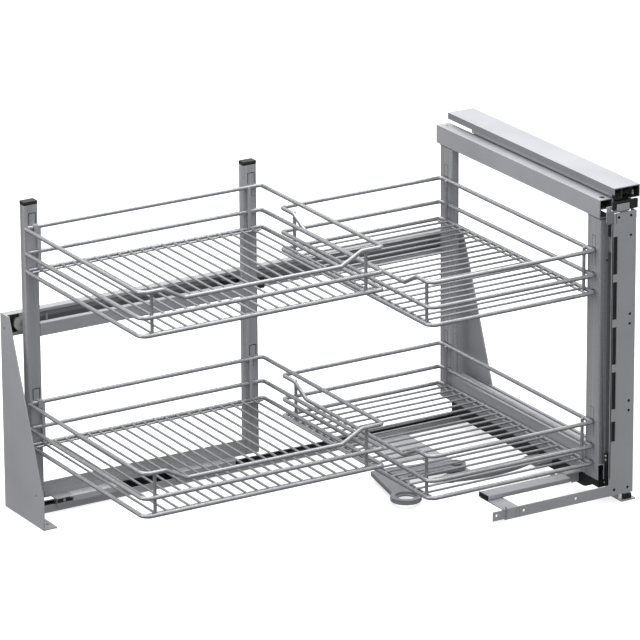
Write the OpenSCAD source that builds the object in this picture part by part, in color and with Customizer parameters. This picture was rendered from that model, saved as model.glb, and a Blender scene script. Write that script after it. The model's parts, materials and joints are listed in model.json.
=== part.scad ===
// Pull-out wire baskets for a corner cabinet.
// A rear carriage with two baskets rolls sideways along +X on two rails held by side brackets.
// A front frame with two baskets and the door column pulls out along -Y on two telescopic runners.
// Millimetres. Z is up, and the origin is on the cabinet floor at the middle of the outline.

/* [Baskets] */
// Width of the rear baskets, between wire centres
rear_basket_w = 423.5; // [360:0.5:470]
// Depth of the rear baskets, between wire centres
rear_basket_d = 368; // [300:1:380]
// Width of the front baskets, between wire centres
front_basket_w = 301; // [240:1:360]
// Height from the bottom wire to the top wire
basket_h = 69; // [50:1:90]
// Height of the middle wire above the bottom wire
mid_wire_z = 28.5; // [18:0.5:34]
// Diameter of the rim wires
rim_wire_d = 5; // [4:0.5:6]
// Diameter of the uprights
upright_d = 4.5; // [3:0.5:5]
// Diameter of the floor wires
floor_wire_d = 2.8; // [2:0.1:3.6]
// Spacing of the floor wires in the rear baskets
rear_floor_pitch = 20; // [14:0.5:30]
// Spacing of the floor wires in the front baskets
front_floor_pitch = 22; // [14:0.5:30]
// How far one wire sinks into another at a weld
weld_depth = 0.5; // [0.3:0.1:1]
// Bend radius at the free corners of a rim
corner_r = 14; // [8:1:24]
// Bend radius at the corners next to a post
tight_r = 7; // [5:0.5:12]
// Drop of the lowered stretch in the top wire
dip_drop = 19; // [8:1:24]
// Distance from a corner to the start of the lowered stretch
dip_margin = 38; // [30:1:60]
// Length over which the top wire slopes down
dip_run = 36; // [24:1:60]
// Clear space between the rear and the front baskets, wire centre to wire centre
basket_gap = 49.5; // [48:0.5:80]

/* [Basket heights] */
// Height of the lower rear basket's bottom wire
rear_low_z = 114; // [90:1:130]
// Height from the lower to the upper rear basket
rear_pitch = 288; // [260:1:300]
// Height of the lower front basket's bottom wire
front_low_z = 66.5; // [60:0.5:80]
// Height from the lower to the upper front basket
front_pitch = 283.5; // [240:0.5:300]

/* [Side brackets] */
// Height of a side bracket
bracket_h = 323; // [310:1:380]
// Depth of a side bracket at the floor
bracket_d = 128.5; // [90:0.5:180]
// Depth of a side bracket at its top
bracket_top_d = 26.5; // [22:0.5:40]
// Sheet thickness of the side brackets
bracket_t = 2.5; // [1.5:0.1:4]
// Height of the upright front edge at the foot of a bracket
kick_h = 52; // [30:1:90]
// Width of the screw flange at the floor
foot_w = 24; // [18:1:40]
// Radius of the cabinet screw holes
screw_hole_r = 2.75; // [2:0.05:3.5]

/* [Rear rails] */
// Height of the upper rail
rail_h = 36; // [34:0.5:50]
// Depth of the upper rail
rail_d = 16; // [14:0.5:24]
// Sheet thickness of both rails
rail_t = 1.5; // [1:0.1:2]
// Height of the upper rail's lips
rail_lip = 5.5; // [3:0.5:8]
// Depth of the floor rail
floor_rail_d = 28; // [24:0.5:40]
// Height of the floor rail
floor_rail_h = 12; // [9:0.5:14]
// Thickness of the track liner in the floor rail
liner_t = 3; // [2:0.5:4]

/* [Rear carriage] */
// Width of a carriage post
post_w = 24; // [18:0.5:30]
// Depth of a carriage post
post_d = 15; // [12:0.5:18]
// Wall of a carriage post
post_t = 1.5; // [1:0.1:2.5]
// Height of the posts above their upper hook tongues
post_head = 13; // [8:1:40]
// Height of the foot end of the posts
post_foot_z = 20; // [16:1:30]
// Distance from the right post to the right end of the rear baskets
post_inset = 30; // [26:1:60]
// Free depth between the posts and the upper rail
post_rail_gap = 15; // [8:0.5:20]
// Height of the post caps
cap_h = 6; // [3:0.5:12]
// Height of the upper cross beam
beam_h = 22; // [16:0.5:30]
// Height of the upper cross beam's lower edge
beam_z = 289; // [270:1:300]
// Height of the lower cross beam
low_beam_h = 22; // [14:0.5:30]
// Width of the hook tongues cut in the posts
hook_w = 13; // [8:0.5:16]
// Height of the hook tongues
hook_h = 18; // [10:0.5:24]
// Width of the slit round a hook tongue
hook_slit = 1.4; // [1:0.1:2]
// Radius of the upper rollers
roller_r = 15.5; // [10:0.5:16]
// Width of the upper rollers
roller_w = 7; // [5:0.5:10]
// Radius of the floor rollers
floor_roller_r = 6.5; // [4:0.5:7]
// Radius of the roller axles
axle_r = 2.5; // [1.5:0.25:3.5]

/* [Front frame] */
// Depth of the frame over its two posts
frame_d = 466; // [420:1:540]
// Width of a frame post
frame_post_w = 13.5; // [10:0.5:20]
// Depth of a frame post
frame_post_d = 36; // [24:0.5:50]
// Wall of the frame posts and rails
frame_t = 1.5; // [1:0.1:2.5]
// Width of the frame's top and bottom rails
frame_rail_w = 24; // [18:0.5:30]
// Height of the frame's top rail
top_rail_h = 30; // [24:0.5:40]
// Height of the frame's bottom rail
bottom_rail_h = 45; // [38:0.5:60]
// Height of the bottom rail's lower edge
frame_foot_z = 40; // [36:1:50]
// Height of the top of the frame
frame_top_z = 502; // [480:1:560]
// Height of the glide strip under the bottom rail
glide_h = 22; // [10:1:24]
// Distance from the frame's side face to the cabinet wall
wall_gap = 66; // [60:0.5:80]

/* [Runners] */
// Length of the telescopic runners
runner_len = 405; // [340:1:430]
// Width across the face of a runner
runner_w = 38; // [30:0.5:45]
// Thickness of a runner from back to face
runner_h = 13; // [12:0.5:16]
// Sheet thickness of the runner members
runner_t = 1.5; // [1:0.1:2]
// Running clearance between runner members
runner_gap = 0.6; // [0.4:0.1:0.9]

/* [Top cover] */
// Width of the cover
cover_w = 49; // [44:0.5:60]
// Sheet thickness of the cover
cover_t = 2; // [1:0.1:3]
// Drop of the cover's left lip
cover_lip = 11; // [6:0.5:12]
// Height of the cover's wall side
cover_h = 20.5; // [20.5:0.5:24]
// How far the cover reaches behind the runner
cover_tail = 72; // [20:1:90]

/* [Door column] */
// Width of the column
column_w = 45; // [36:0.5:60]
// Depth of the column
column_d = 14; // [10:0.5:16]
// Sheet thickness of the column and the bar
column_t = 2; // [1.5:0.1:3]
// Height of the column's lower end
column_foot_z = 16; // [15:0.5:24]
// Height of the column
column_h = 467; // [440:1:480]
// Width of the adjusting slots
slot_w = 8; // [4:0.5:9]
// Height of the long adjusting slots
slot_h = 62; // [40:1:66]
// Spacing of the adjusting slots
slot_pitch = 74.3; // [72:0.1:90]
// Depth between the door plane and the frame's front post
door_gap = 17; // [15.5:0.5:24]
// Height of the door bar
bar_h = 18; // [14:0.5:24]
// Distance from the column to the bar's free end
bar_reach = 195; // [150:1:240]
// Radius of the door screw holes
door_hole_r = 2.25; // [1.5:0.05:3]

/* [Cross tube] */
// Width of the cross tube
tube_w = 25; // [18:0.5:32]
// Height of the cross tube
tube_h = 8; // [6:0.5:12]
// Wall of the cross tube
tube_t = 1; // [0.8:0.1:2]

/* [Swing lever] */
// Thickness of the lever
lever_t = 8; // [5:0.5:8]
// Outer radius of the ring at the lever's end
ring_r = 25; // [20:0.5:32]
// Radius of the hole in the ring
ring_bore_r = 17; // [12:0.5:18]
// Distance from the pivot to the ring along X
ring_reach_x = 144; // [110:1:170]
// Distance from the pivot to the ring along Y
ring_reach_y = 80; // [50:1:100]
// Radius of the lever's pivot
pivot_r = 6; // [4:0.25:8]
// Distance from the front baskets' left wire to the pivot
pivot_x = 195; // [170:1:220]
// Distance from the floor rail to the pivot
pivot_y = 181.7; // [160:0.1:200]
// Thickness of the base plate
base_t = 3; // [2:0.5:3]

/* [Hidden] */
$fn = 32;
eps = 0.01;

// Small fits that several pieces share
side_gap = 19.5;
fit_gap = 0.3;
rear_hanger_t = 1.5;
front_hanger_t = 2;
flange_t = 1.5;
frame_gap = 2.5;
basket_inset = 10;
screw_head_h = 1.2;

// Places across the object
overall_w = side_gap + rear_basket_w + basket_gap + front_basket_w + rim_wire_d / 2
  + front_hanger_t + wall_gap;
x_left = -overall_w / 2;
x_right = overall_w / 2;
x_rear = x_left + side_gap;
x_front = x_rear + rear_basket_w + basket_gap;
x_frame = x_right - wall_gap;
x_rail_end = x_frame + frame_rail_w;
x_wall = x_rail_end + 1 + runner_h;
x_left_post = x_rear + 2;
x_right_post = x_rear + rear_basket_w - post_inset;
x_cover = x_right - cover_w;

// Places from front to back
overall_d = door_gap + frame_d + frame_gap + rail_d + flange_t;
y_door = -overall_d / 2;
y_back = overall_d / 2;
y_rail = y_back - flange_t - rail_d;
y_frame = y_door + door_gap;
y_frame_back = y_frame + frame_d;
y_post = y_rail - post_rail_gap - post_d;
y_rear = y_post - rear_hanger_t - rim_wire_d / 2 - rear_basket_d;
y_front = y_frame + basket_inset;
front_basket_d = frame_d - 2 * basket_inset;
y_floor_rail = y_post - 15;
y_runner = y_frame + 1.5;

// Heights
cover_top_z = frame_top_z + 20;
hook_over = 4;
post_top_z = rear_low_z + rear_pitch + basket_h + hook_over + hook_h + post_head;
runner_z = frame_foot_z + bottom_rail_h / 2;
rail_z = bracket_h - rail_h;
roller_z = rail_z + rail_t + fit_gap + roller_r;
rear_levels = [rear_low_z, rear_low_z + rear_pitch];
front_levels = [front_low_z, front_low_z + front_pitch];

// Finishes
steel = "silver";
wire = "gainsboro";
zinc = "lightgray";
black = "#202224";
nylon = "whitesmoke";
grey_plastic = "#8c8e92";

// ---- Shared shapes ----

// A block between two opposite corners
module block(a, b) { translate(a) cube(b - a); }

// A tube with a rectangular section between two corners, hollow along the axis
module tube(a, b, t, axis) {
  m = axis == 0 ? [-1, t, t] : axis == 1 ? [t, -1, t] : [t, t, -1];
  difference() {
    block(a, b);
    block(a + m, b - m);
  }
}

// Round bars along X and Y, starting at p
module bar_x(p, r, l) { translate(p) rotate([0, 90, 0]) cylinder(h = l, r = r); }
module bar_y(p, r, l) { translate(p) rotate([-90, 0, 0]) cylinder(h = l, r = r); }

// ---- Wire work ----

// A wire through a level rectangle, bent at its four corners.
// The corners run front left, front right, back right, back left.
module level_side(a, b, ra, rb) {
  u = (b - a) / norm(b - a);
  translate(a + u * ra) rotate([90, 0, atan2(u.y, u.x) + 90])
    cylinder(h = norm(b - a) - ra - rb, d = rim_wire_d);
}

module level_bend(p, r, from) {
  translate(p) rotate([0, 0, from]) rotate_extrude(angle = 90) translate([r, 0]) circle(d = rim_wire_d);
}

module level_bends(w, d, r) {
  level_bend([r[0], r[0], 0], r[0], 180);
  level_bend([w - r[1], r[1], 0], r[1], 270);
  level_bend([w - r[2], d - r[2], 0], r[2], 0);
  level_bend([r[3], d - r[3], 0], r[3], 90);
}

module level_wire(w, d, r) {
  level_bends(w, d, r);
  level_side([0, 0, 0], [w, 0, 0], r[0], r[1]);
  level_side([w, 0, 0], [w, d, 0], r[1], r[2]);
  level_side([w, d, 0], [0, d, 0], r[2], r[3]);
  level_side([0, d, 0], [0, 0, 0], r[3], r[0]);
}

// A wire side of length l along X that dips in the middle
module dipped_side(l, ra, rb) {
  near = dip_margin;
  far = dip_margin + dip_run;
  slope = atan2(dip_drop, dip_run);
  bar_x([ra, 0, 0], rim_wire_d / 2, near - ra);
  bar_x([l - near, 0, 0], rim_wire_d / 2, near - rb);
  bar_x([far, 0, -dip_drop], rim_wire_d / 2, l - 2 * far);
  translate([near, 0, 0]) rotate([0, 90 + slope, 0])
    cylinder(h = norm([dip_run, dip_drop]), d = rim_wire_d);
  translate([l - far, 0, -dip_drop]) rotate([0, 90 - slope, 0])
    cylinder(h = norm([dip_run, dip_drop]), d = rim_wire_d);
  for (x = [near, l - near]) translate([x, 0, 0]) sphere(d = rim_wire_d + bend_bead);
  for (x = [far, l - far]) translate([x, 0, -dip_drop]) sphere(d = rim_wire_d + bend_bead);
}

// The rim of a basket: bottom, middle and dipped top wires with their uprights
module basket_rim(w, d, r, dip_front, uprights) {
  for (z = [0, mid_wire_z]) translate([0, 0, z]) level_wire(w, d, r);
  translate([0, 0, basket_h]) {
    level_bends(w, d, r);
    level_side([w, 0, 0], [w, d, 0], r[1], r[2]);
    level_side([w, d, 0], [0, d, 0], r[2], r[3]);
    if (dip_front) {
      dipped_side(w, r[0], r[1]);
      level_side([0, d, 0], [0, 0, 0], r[3], r[0]);
    } else {
      level_side([0, 0, 0], [w, 0, 0], r[0], r[1]);
      rotate([0, 0, 90]) dipped_side(d, r[0], r[3]);
    }
  }
  for (p = uprights) translate([p.x, p.y, -1]) cylinder(h = basket_h + 2, d = upright_d);
}

// The floor wires of a basket lie above its bottom wire, which carries them at both ends
module floor_wires(span, length, pitch) {
  count = floor((span - 2 * corner_r) / pitch);
  first = (span - (count - 1) * pitch) / 2;
  for (i = [0:count - 1])
    translate([first + i * pitch, -rim_wire_d / 2, 0])
      rotate([-90, 0, 0]) cylinder(h = length + rim_wire_d, d = floor_wire_d, $fn = 16);
}

floor_wire_z = (rim_wire_d + floor_wire_d) / 2 + fit_gap / 3;
upright_in = (rim_wire_d + upright_d) / 2 - weld_depth;
bend_bead = 0.4;

module rear_rim(level) {
  color(wire) translate([x_rear, y_rear, level])
    basket_rim(rear_basket_w, rear_basket_d, [corner_r, tight_r, tight_r, tight_r], true,
      [[21, upright_in], [rear_basket_w - 28, upright_in]]);
}

module front_rim(level) {
  color(wire) translate([x_front, y_front, level])
    basket_rim(front_basket_w, front_basket_d, [corner_r, tight_r, tight_r, tight_r], false,
      [[upright_in, 16], [upright_in, front_basket_d - 34],
       [front_basket_w - upright_in, 34], [front_basket_w - upright_in, front_basket_d - 34]]);
}

// A floor is one welded mat: its wires are tied by two cross wires underneath
module mat(span, length, pitch) {
  floor_wires(span, length, pitch);
  for (y = [2 * rim_wire_d, length - 2 * rim_wire_d])
    translate([corner_r / 2, y, -(floor_wire_d - weld_depth)])
      rotate([0, 90, 0]) cylinder(h = span - corner_r, d = floor_wire_d, $fn = 16);
}

module rear_floor(level) {
  color(wire) translate([x_rear, y_rear, level + floor_wire_z])
    mat(rear_basket_w, rear_basket_d, rear_floor_pitch);
}

module front_floor(level) {
  color(wire) translate([x_front + front_basket_w, y_front, level + floor_wire_z]) rotate([0, 0, 90])
    mat(front_basket_d, front_basket_w, front_floor_pitch);
}

module upper_rear_rim() { rear_rim(rear_levels[1]); }
module lower_rear_rim() { rear_rim(rear_levels[0]); }
module upper_front_rim() { front_rim(front_levels[1]); }
module lower_front_rim() { front_rim(front_levels[0]); }
module upper_rear_floor() { rear_floor(rear_levels[1]); }
module lower_rear_floor() { rear_floor(rear_levels[0]); }
module upper_front_floor() { front_floor(front_levels[1]); }
module lower_front_floor() { front_floor(front_levels[0]); }

// ---- Side brackets and rear rails, fixed to the cabinet ----

// The side plate of a bracket with its two holes
module side_plate(x) {
  hole_top = [y_back - 13, bracket_h - 22.7];
  hole_low = [y_back - bracket_d + 21.4, 50.7];
  color(steel) difference() {
    translate([x, 0, 0]) rotate([90, 0, 90]) linear_extrude(bracket_t)
      polygon([[y_back, 0], [y_back, bracket_h], [y_back - bracket_top_d, bracket_h],
        [y_back - bracket_d, kick_h], [y_back - bracket_d, 0]]);
    for (h = [hole_top, hole_low]) bar_x([x - 1, h.x, h.y], screw_hole_r, bracket_t + 2);
  }
}

module left_bracket() { side_plate(x_left); }
module right_bracket() { side_plate(x_wall); }

// The screw flange at the foot of each bracket. The left one ends where the floor rail passes
// and goes on behind it.
module foot_flange(x, y0, y1, holes) {
  color(steel) difference() {
    block([x + bracket_t, y0, 0], [x + foot_w, y1, bracket_t]);
    for (y = holes) translate([x + foot_w - 9, y, -1]) cylinder(h = bracket_t + 2, r = screw_hole_r);
  }
}

foot_holes = [y_back - bracket_d + 18, y_back - 30];

module left_foot_flange() {
  foot_flange(x_left, y_back - bracket_d, y_floor_rail - fit_gap, [foot_holes[0]]);
  foot_flange(x_left, y_floor_rail + floor_rail_d + fit_gap, y_back, [foot_holes[1]]);
}

module right_foot_flange() { foot_flange(x_wall, y_back - bracket_d, y_back, foot_holes); }

rail_x0 = x_left + bracket_t;
rail_len = x_wall - rail_x0;

// The upper rail is a channel open towards the front: a web, two tracks and two lips that
// keep the rollers in
module rail_bar(y0, z0, y1, z1) { block([rail_x0, y0, z0], [x_wall, y1, z1]); }

rail_top_z = rail_z + rail_h;

module rear_top_rail() {
  color(steel) rail_bar(y_rail + rail_d - rail_t, rail_z, y_rail + rail_d, rail_top_z);
}

module rear_rail_tracks() {
  color(steel) for (z = [rail_z, rail_top_z - rail_t])
    rail_bar(y_rail, z, y_rail + rail_d - rail_t, z + rail_t);
}

module rear_rail_lips() {
  color(steel) {
    rail_bar(y_rail, rail_z + rail_t, y_rail + rail_t, rail_z + rail_lip);
    rail_bar(y_rail, rail_top_z - rail_lip, y_rail + rail_t, rail_top_z - rail_t);
  }
}

// The floor rail is a trough open upwards: a base and two walls, the rear one lower
module rear_floor_rail() { color(steel) rail_bar(y_floor_rail, 0, y_floor_rail + floor_rail_d, rail_t); }

module floor_rail_walls() {
  color(steel) {
    rail_bar(y_floor_rail, rail_t, y_floor_rail + rail_t, floor_rail_h);
    rail_bar(y_floor_rail + floor_rail_d - rail_t, rail_t, y_floor_rail + floor_rail_d, floor_rail_h - 2);
  }
}

liner_side = 6;
module track_liner() {
  y_wall = y_floor_rail + floor_rail_d - rail_t;
  color(black) {
    block([rail_x0 + 4, y_floor_rail + liner_side, rail_t], [x_wall - 4, y_wall - 2.5, rail_t + liner_t]);
    block([rail_x0 + 4, y_wall - 2.5, rail_t], [x_wall - 4, y_wall, floor_rail_h - 2.5]);
  }
}

// Round screw heads on the web of the upper rail
module rail_screws() {
  color(nylon) for (x = [rail_x0 + 54, x_wall - 54])
    bar_y([x, y_rail + rail_d - rail_t - screw_head_h, rail_z + rail_h / 2], 4, screw_head_h);
}

// ---- Fixed parts of the runners ----

top_runner_x = x_rail_end + (runner_w - 4) / 2;
runner_top_z = cover_top_z - cover_t;
upper_c_h = 16.5;
lower_c_top = frame_top_z - 1;
lower_c_h = 15;
mouth = 9.5;
run_y = [y_runner, y_runner + runner_len];
flange_up_z = runner_top_z - upper_c_h + runner_t + runner_gap;
flange_low_z = lower_c_top - 2 * runner_t - runner_gap;
upper_half = runner_w / 2;
lower_half = runner_w / 2 - 2;

// The cover hangs over the runner and leaves its front end open
module top_cover() {
  y0 = y_runner - 12;
  y1 = run_y[1] + cover_tail - 8;
  color(steel) {
    block([x_cover, y0, cover_top_z - cover_t], [x_right, y1, cover_top_z]);
    block([x_cover, y0, cover_top_z - cover_lip], [x_cover + cover_t, y1, cover_top_z - cover_t]);
    block([x_right - cover_t, y0, cover_top_z - cover_h], [x_right, y1, cover_top_z - cover_t]);
    block([top_runner_x + 4, y0, cover_top_z - cover_h],
      [x_right - cover_t, y1, cover_top_z - cover_h + 1.5]);
  }
}

// A channel that opens downwards, its lips carrying the middle member
module top_runner_outer() {
  z0 = runner_top_z - upper_c_h;
  color(zinc) difference() {
    block([top_runner_x - upper_half, run_y[0], z0],
      [top_runner_x + upper_half, run_y[1], runner_top_z]);
    block([top_runner_x - upper_half + runner_t, run_y[0] - 1, z0 + runner_t],
      [top_runner_x + upper_half - runner_t, run_y[1] + 1, runner_top_z - runner_t]);
    block([top_runner_x - mouth, run_y[0] - 1, z0 - 1],
      [top_runner_x + mouth, run_y[1] + 1, z0 + runner_t + 1]);
  }
}

// A beam with two flanges and a rib: the upper flange rides in the cover's channel,
// the lower one carries the frame's channel
module top_runner_middle() {
  half_up = upper_half - runner_t - runner_gap;
  half_low = lower_half - runner_t - runner_gap;
  color(zinc) {
    block([top_runner_x - 1.4, run_y[0], flange_low_z],
      [top_runner_x + 1.4, run_y[1], runner_top_z - runner_t - runner_gap]);
    for (s = [[half_up, flange_up_z], [half_low, flange_low_z]]) {
      block([top_runner_x - s[0], run_y[0], s[1]], [top_runner_x - 1.4, run_y[1], s[1] + runner_t]);
      block([top_runner_x + 1.4, run_y[0], s[1]], [top_runner_x + s[0], run_y[1], s[1] + runner_t]);
    }
  }
}

// A channel that opens upwards, fixed along the side of the frame's top rail
module top_runner_inner() {
  z0 = lower_c_top - lower_c_h;
  color(zinc) difference() {
    block([top_runner_x - lower_half, run_y[0], z0],
      [top_runner_x + lower_half, run_y[1], lower_c_top]);
    block([top_runner_x - lower_half + runner_t, run_y[0] - 1, z0 + runner_t],
      [top_runner_x + lower_half - runner_t, run_y[1] + 1, lower_c_top - runner_t]);
    block([top_runner_x - mouth, run_y[0] - 1, lower_c_top - runner_t - 1],
      [top_runner_x + mouth, run_y[1] + 1, lower_c_top + 1]);
  }
}

// Section of the bottom runner: u from its back at the cabinet wall, v across its face
module runner_bar(u0, v0, u1, v1) {
  block([x_wall - u1, run_y[0], runner_z + v0], [x_wall - u0, run_y[1], runner_z + v1]);
}

module runner_pair(u0, v0, u1, v1) {
  runner_bar(u0, v0, u1, v1);
  runner_bar(u0, -v1, u1, -v0);
}

rt = runner_t;
rg = runner_gap;
half = runner_w / 2;

module bottom_runner_outer() {
  color(zinc) {
    runner_bar(0, -half, rt, half);
    runner_pair(rt, half - rt, 3 * rt + 2 * rg, half);
    runner_pair(2 * (rt + rg), half - rt - 2, 3 * rt + 2 * rg, half - rt);
  }
}

module bottom_runner_middle() {
  wall = half - rt - 2 - rg;
  color(zinc) {
    runner_bar(rt + rg, -(half - rt - rg), 2 * rt + rg, half - rt - rg);
    runner_pair(2 * rt + rg, wall - rt, runner_h - 1, wall);
    runner_pair(runner_h - 1 - rt, wall - rt - 2, runner_h - 1, wall - rt);
  }
}

module bottom_runner_inner() {
  wall = half - rt - 2 - rg;
  ear_u = runner_h - 1 - rt - rg;
  color(zinc) {
    runner_bar(ear_u - rt, -(wall - rt - rg), ear_u, wall - rt - rg);
    runner_bar(ear_u, -(wall - rt - 2 - rg), runner_h + 1, wall - rt - 2 - rg);
  }
}

// Holds the front end of the bottom runner on the cabinet floor
module runner_floor_angle() {
  color(steel) difference() {
    union() {
      block([x_wall, y_frame, 0], [x_wall + bracket_t, y_frame + 34, runner_z + half]);
      block([x_wall, y_door + 5, 0], [x_right - 1, y_frame + 34, bracket_t]);
    }
    for (y = [y_frame + 6, y_frame + 22])
      translate([x_wall + 17, y, -1]) cylinder(h = bracket_t + 2, r = screw_hole_r);
  }
}

module front_bumper() {
  color(black) block([x_wall + 6, y_door + 6, bracket_t], [x_wall + 20, y_door + 14, bracket_t + 9]);
}

// ---- Lever on the cabinet floor ----

lever_z = 6;
hub = [x_front + pivot_x, y_floor_rail - pivot_y];
ring = [hub.x - ring_reach_x, hub.y - ring_reach_y];
hub_r = 16;

module lever_base_plate() {
  half_w = hub_r + 3.5;
  y_step = y_floor_rail - 0.567 * pivot_y;
  color(steel) {
    block([hub.x - 0.323 * pivot_x, y_step, 0], [hub.x + half_w, y_floor_rail, base_t]);
    block([hub.x - half_w, hub.y - half_w, 0], [hub.x + half_w, y_step, base_t]);
  }
}

// The pin stands on the base plate, with a shoulder below the lever and a head above it
module lever_pivot_pin() {
  color(zinc) translate([hub.x, hub.y, base_t]) {
    cylinder(h = lever_z - base_t - fit_gap, r = hub_r - 5);
    cylinder(h = lever_z - base_t + lever_t + 1, r = pivot_r);
    translate([0, 0, lever_z - base_t + lever_t + fit_gap]) cylinder(h = 2.2, r = hub_r - 6);
  }
}

function on_lever(u, v) = [ring.x + u * ring_reach_x, ring.y + v * ring_reach_y];

module swing_lever() {
  color(grey_plastic) translate([0, 0, lever_z]) difference() {
    union() {
      translate([ring.x, ring.y, 0]) cylinder(h = lever_t, r = ring_r);
      translate([hub.x, hub.y, 0]) cylinder(h = lever_t, r = hub_r);
      linear_extrude(lever_t) polygon([on_lever(-0.097, 0.2), on_lever(0.056, 1.5),
        on_lever(0.319, 1.5), hub + hub_r * [0.25, 0.94], hub - hub_r * [0.25, 0.94],
        on_lever(0.333, 0.9), on_lever(0.139, 0.125)]);
    }
    translate([ring.x, ring.y, -1]) cylinder(h = lever_t + 2, r = ring_bore_r);
    translate([hub.x, hub.y, -1]) cylinder(h = lever_t + 2, r = pivot_r + fit_gap);
  }
}

// ---- Front frame ----

x_post_end = x_frame + frame_post_w;
frame_rail_z = frame_top_z - top_rail_h;
bottom_rail_top = frame_foot_z + bottom_rail_h;
y_rear_post = y_frame_back - frame_post_d;
y_bottom = [y_frame + frame_post_d, y_rear_post];

// A closed box above a channel that is open towards the runner
module frame_top_rail() {
  lo = [x_frame, y_frame + 3, frame_rail_z];
  hi = [x_rail_end, y_frame_back + 12, frame_top_z];
  shelf_z = lower_c_top - lower_c_h;
  color(steel) difference() {
    block(lo, hi);
    block([lo.x + frame_t, lo.y - 1, shelf_z + frame_t], [hi.x - frame_t, hi.y + 1, hi.z - frame_t]);
    block([lo.x + frame_t, lo.y - 1, lo.z + frame_t], [hi.x + 1, hi.y + 1, shelf_z]);
    for (y = [y_frame + 12, y_frame_back - 2])
      translate([x_frame + frame_rail_w / 2, y, frame_top_z - frame_t - 1])
        cylinder(h = frame_t + 2, r = door_hole_r);
  }
}

module frame_rear_post() {
  color(steel) tube([x_frame, y_rear_post, frame_foot_z], [x_post_end, y_frame_back, frame_rail_z],
    frame_t, 2);
}

module frame_front_post() {
  color(steel) difference() {
    tube([x_frame, y_frame, frame_foot_z], [x_post_end, y_frame + frame_post_d, frame_rail_z],
      frame_t, 2);
    block([x_frame + frame_t, y_frame - 1, frame_foot_z - 1],
      [x_post_end - frame_t, y_frame + frame_t + 1, frame_foot_z + 25]);
  }
}

module frame_bottom_rail() {
  color(steel) tube([x_frame, y_bottom[0], frame_foot_z], [x_rail_end, y_bottom[1], bottom_rail_top],
    frame_t, 1);
}

// The glide strip has a rounded nose
module frame_glide_strip() {
  z0 = frame_foot_z - glide_h;
  color(black) {
    block([x_frame, y_bottom[0] + 6, z0], [x_rail_end, y_bottom[1], frame_foot_z]);
    intersection() {
      bar_x([x_frame, y_bottom[0] + 6, frame_foot_z], glide_h, frame_rail_w);
      block([x_frame, y_bottom[0] + 6 - glide_h, z0], [x_rail_end, y_bottom[0] + 6, frame_foot_z]);
    }
  }
}

// Studs between the wires of the baskets and the frame posts
module front_hangers() {
  color(steel) for (z = front_levels, dz = [0, mid_wire_z, basket_h],
      y = [y_frame + frame_post_d / 2, y_rear_post + frame_post_d / 2])
    bar_x([x_frame - front_hanger_t, y, z + dz], 0.7 * rim_wire_d, front_hanger_t);
}

// ---- Door column and bar ----

x_column = x_frame + 10.6;
column_top_z = column_foot_z + column_h;
slot_low_z = column_foot_z + 144.5;

// A plate with a flange along its right edge, slotted beside its left edge
module door_column() {
  holes = [[35, 460], [35, 428], [35, 298.5], [35, 282.5], [35, 154.4], [35, 138.4], [35, 9.4],
    [9.7, 9.4], [12.3, 460]];
  color(steel) difference() {
    block([x_column, y_door, column_foot_z], [x_column + column_w, y_door + column_d, column_top_z]);
    block([x_column - 1, y_door + column_t, column_foot_z - 1],
      [x_column + column_w - column_t, y_door + column_d + 1, column_top_z + 1]);
    block([x_column - 1, y_door - 1, column_top_z - 17],
      [x_column + 7, y_door + column_d + 1, column_top_z + 1]);
    for (h = holes)
      bar_y([x_column + h.x, y_door - 1, column_foot_z + h.y], door_hole_r, column_t + 2);
    for (i = [0:3])
      block([x_column + 2.5, y_door - 1, slot_low_z + i * slot_pitch],
        [x_column + 2.5 + slot_w, y_door + column_t + 1, slot_low_z + i * slot_pitch + slot_h]);
    block([x_column + 2.5, y_door - 1, column_foot_z + 90.8],
      [x_column + 2.5 + slot_w, y_door + column_t + 1, column_foot_z + 124.3]);
  }
}

// A long plate on the front post with two pads that set the door's distance
module column_spacers() {
  color(steel) {
    block([x_post_end - 1.5, y_frame - 2, column_foot_z + 44], [x_column + 17, y_frame, column_top_z - 13]);
    for (z = [column_foot_z + 64, column_top_z - 75])
      block([x_column + 12, y_door + column_t, z], [x_column + column_w - 16, y_frame - 2, z + 40]);
  }
}

// A black guide block that closes the column's top and runs below the cover, and a black
// buffer between the post and the column
module column_top_guide() {
  color(black) {
    block([x_column + 3.4, y_door + 1, column_top_z + 3],
      [x_column + column_w + 3.2, y_runner - 12.5, column_top_z + 18]);
    block([x_column + 17, y_door + column_t, column_top_z - 13],
      [x_column + column_w - 15, y_runner - 12.5, column_top_z + 3]);
    block([x_post_end, y_frame - 10.5, column_top_z - 40], [x_post_end + 8.5, y_frame - 2, column_top_z - 16]);
    block([x_column + 3.4, y_frame - 9.5, column_top_z - 65],
      [x_column + 11.4, y_frame - 2, column_top_z - 40]);
    block([x_post_end - 2.5, y_frame - 10.5, column_foot_z + 14], [x_post_end + 6.5, y_frame - 2, column_foot_z + 69]);
  }
}

// Holds the column on the runner, with an arm that reaches down beside the column's notch
module column_hanger_plate() {
  color(steel) {
    block([x_column + 15.9, y_runner - 12.5, column_top_z + 5],
      [x_column + column_w - 5, y_runner, column_top_z + 11]);
    block([x_frame + 4, y_runner - 12.5, column_top_z + 5],
      [x_column + 15.9, y_runner - 10.5, column_top_z + 11]);
    block([x_frame + 4, y_runner - 12.5, column_top_z - 15.5],
      [x_column + 2.8, y_runner - 10.5, column_top_z + 5]);
  }
}

module door_bar() {
  z0 = column_foot_z;
  color(steel) difference() {
    block([x_column - bar_reach, y_door, z0], [x_column, y_door + column_t, z0 + bar_h]);
    for (x = [bar_reach - 35.8, bar_reach - 132.9])
      bar_y([x_column - x, y_door - 1, z0 + 9.4], door_hole_r, column_t + 2);
  }
}

// Two screw heads that join the bar to its end bracket
module bar_screws() {
  color(zinc) for (x = [10, 24])
    bar_y([x_column - bar_reach + x, y_door + column_t + 2, column_foot_z + bar_h / 2], 3.2, 2);
}

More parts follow.
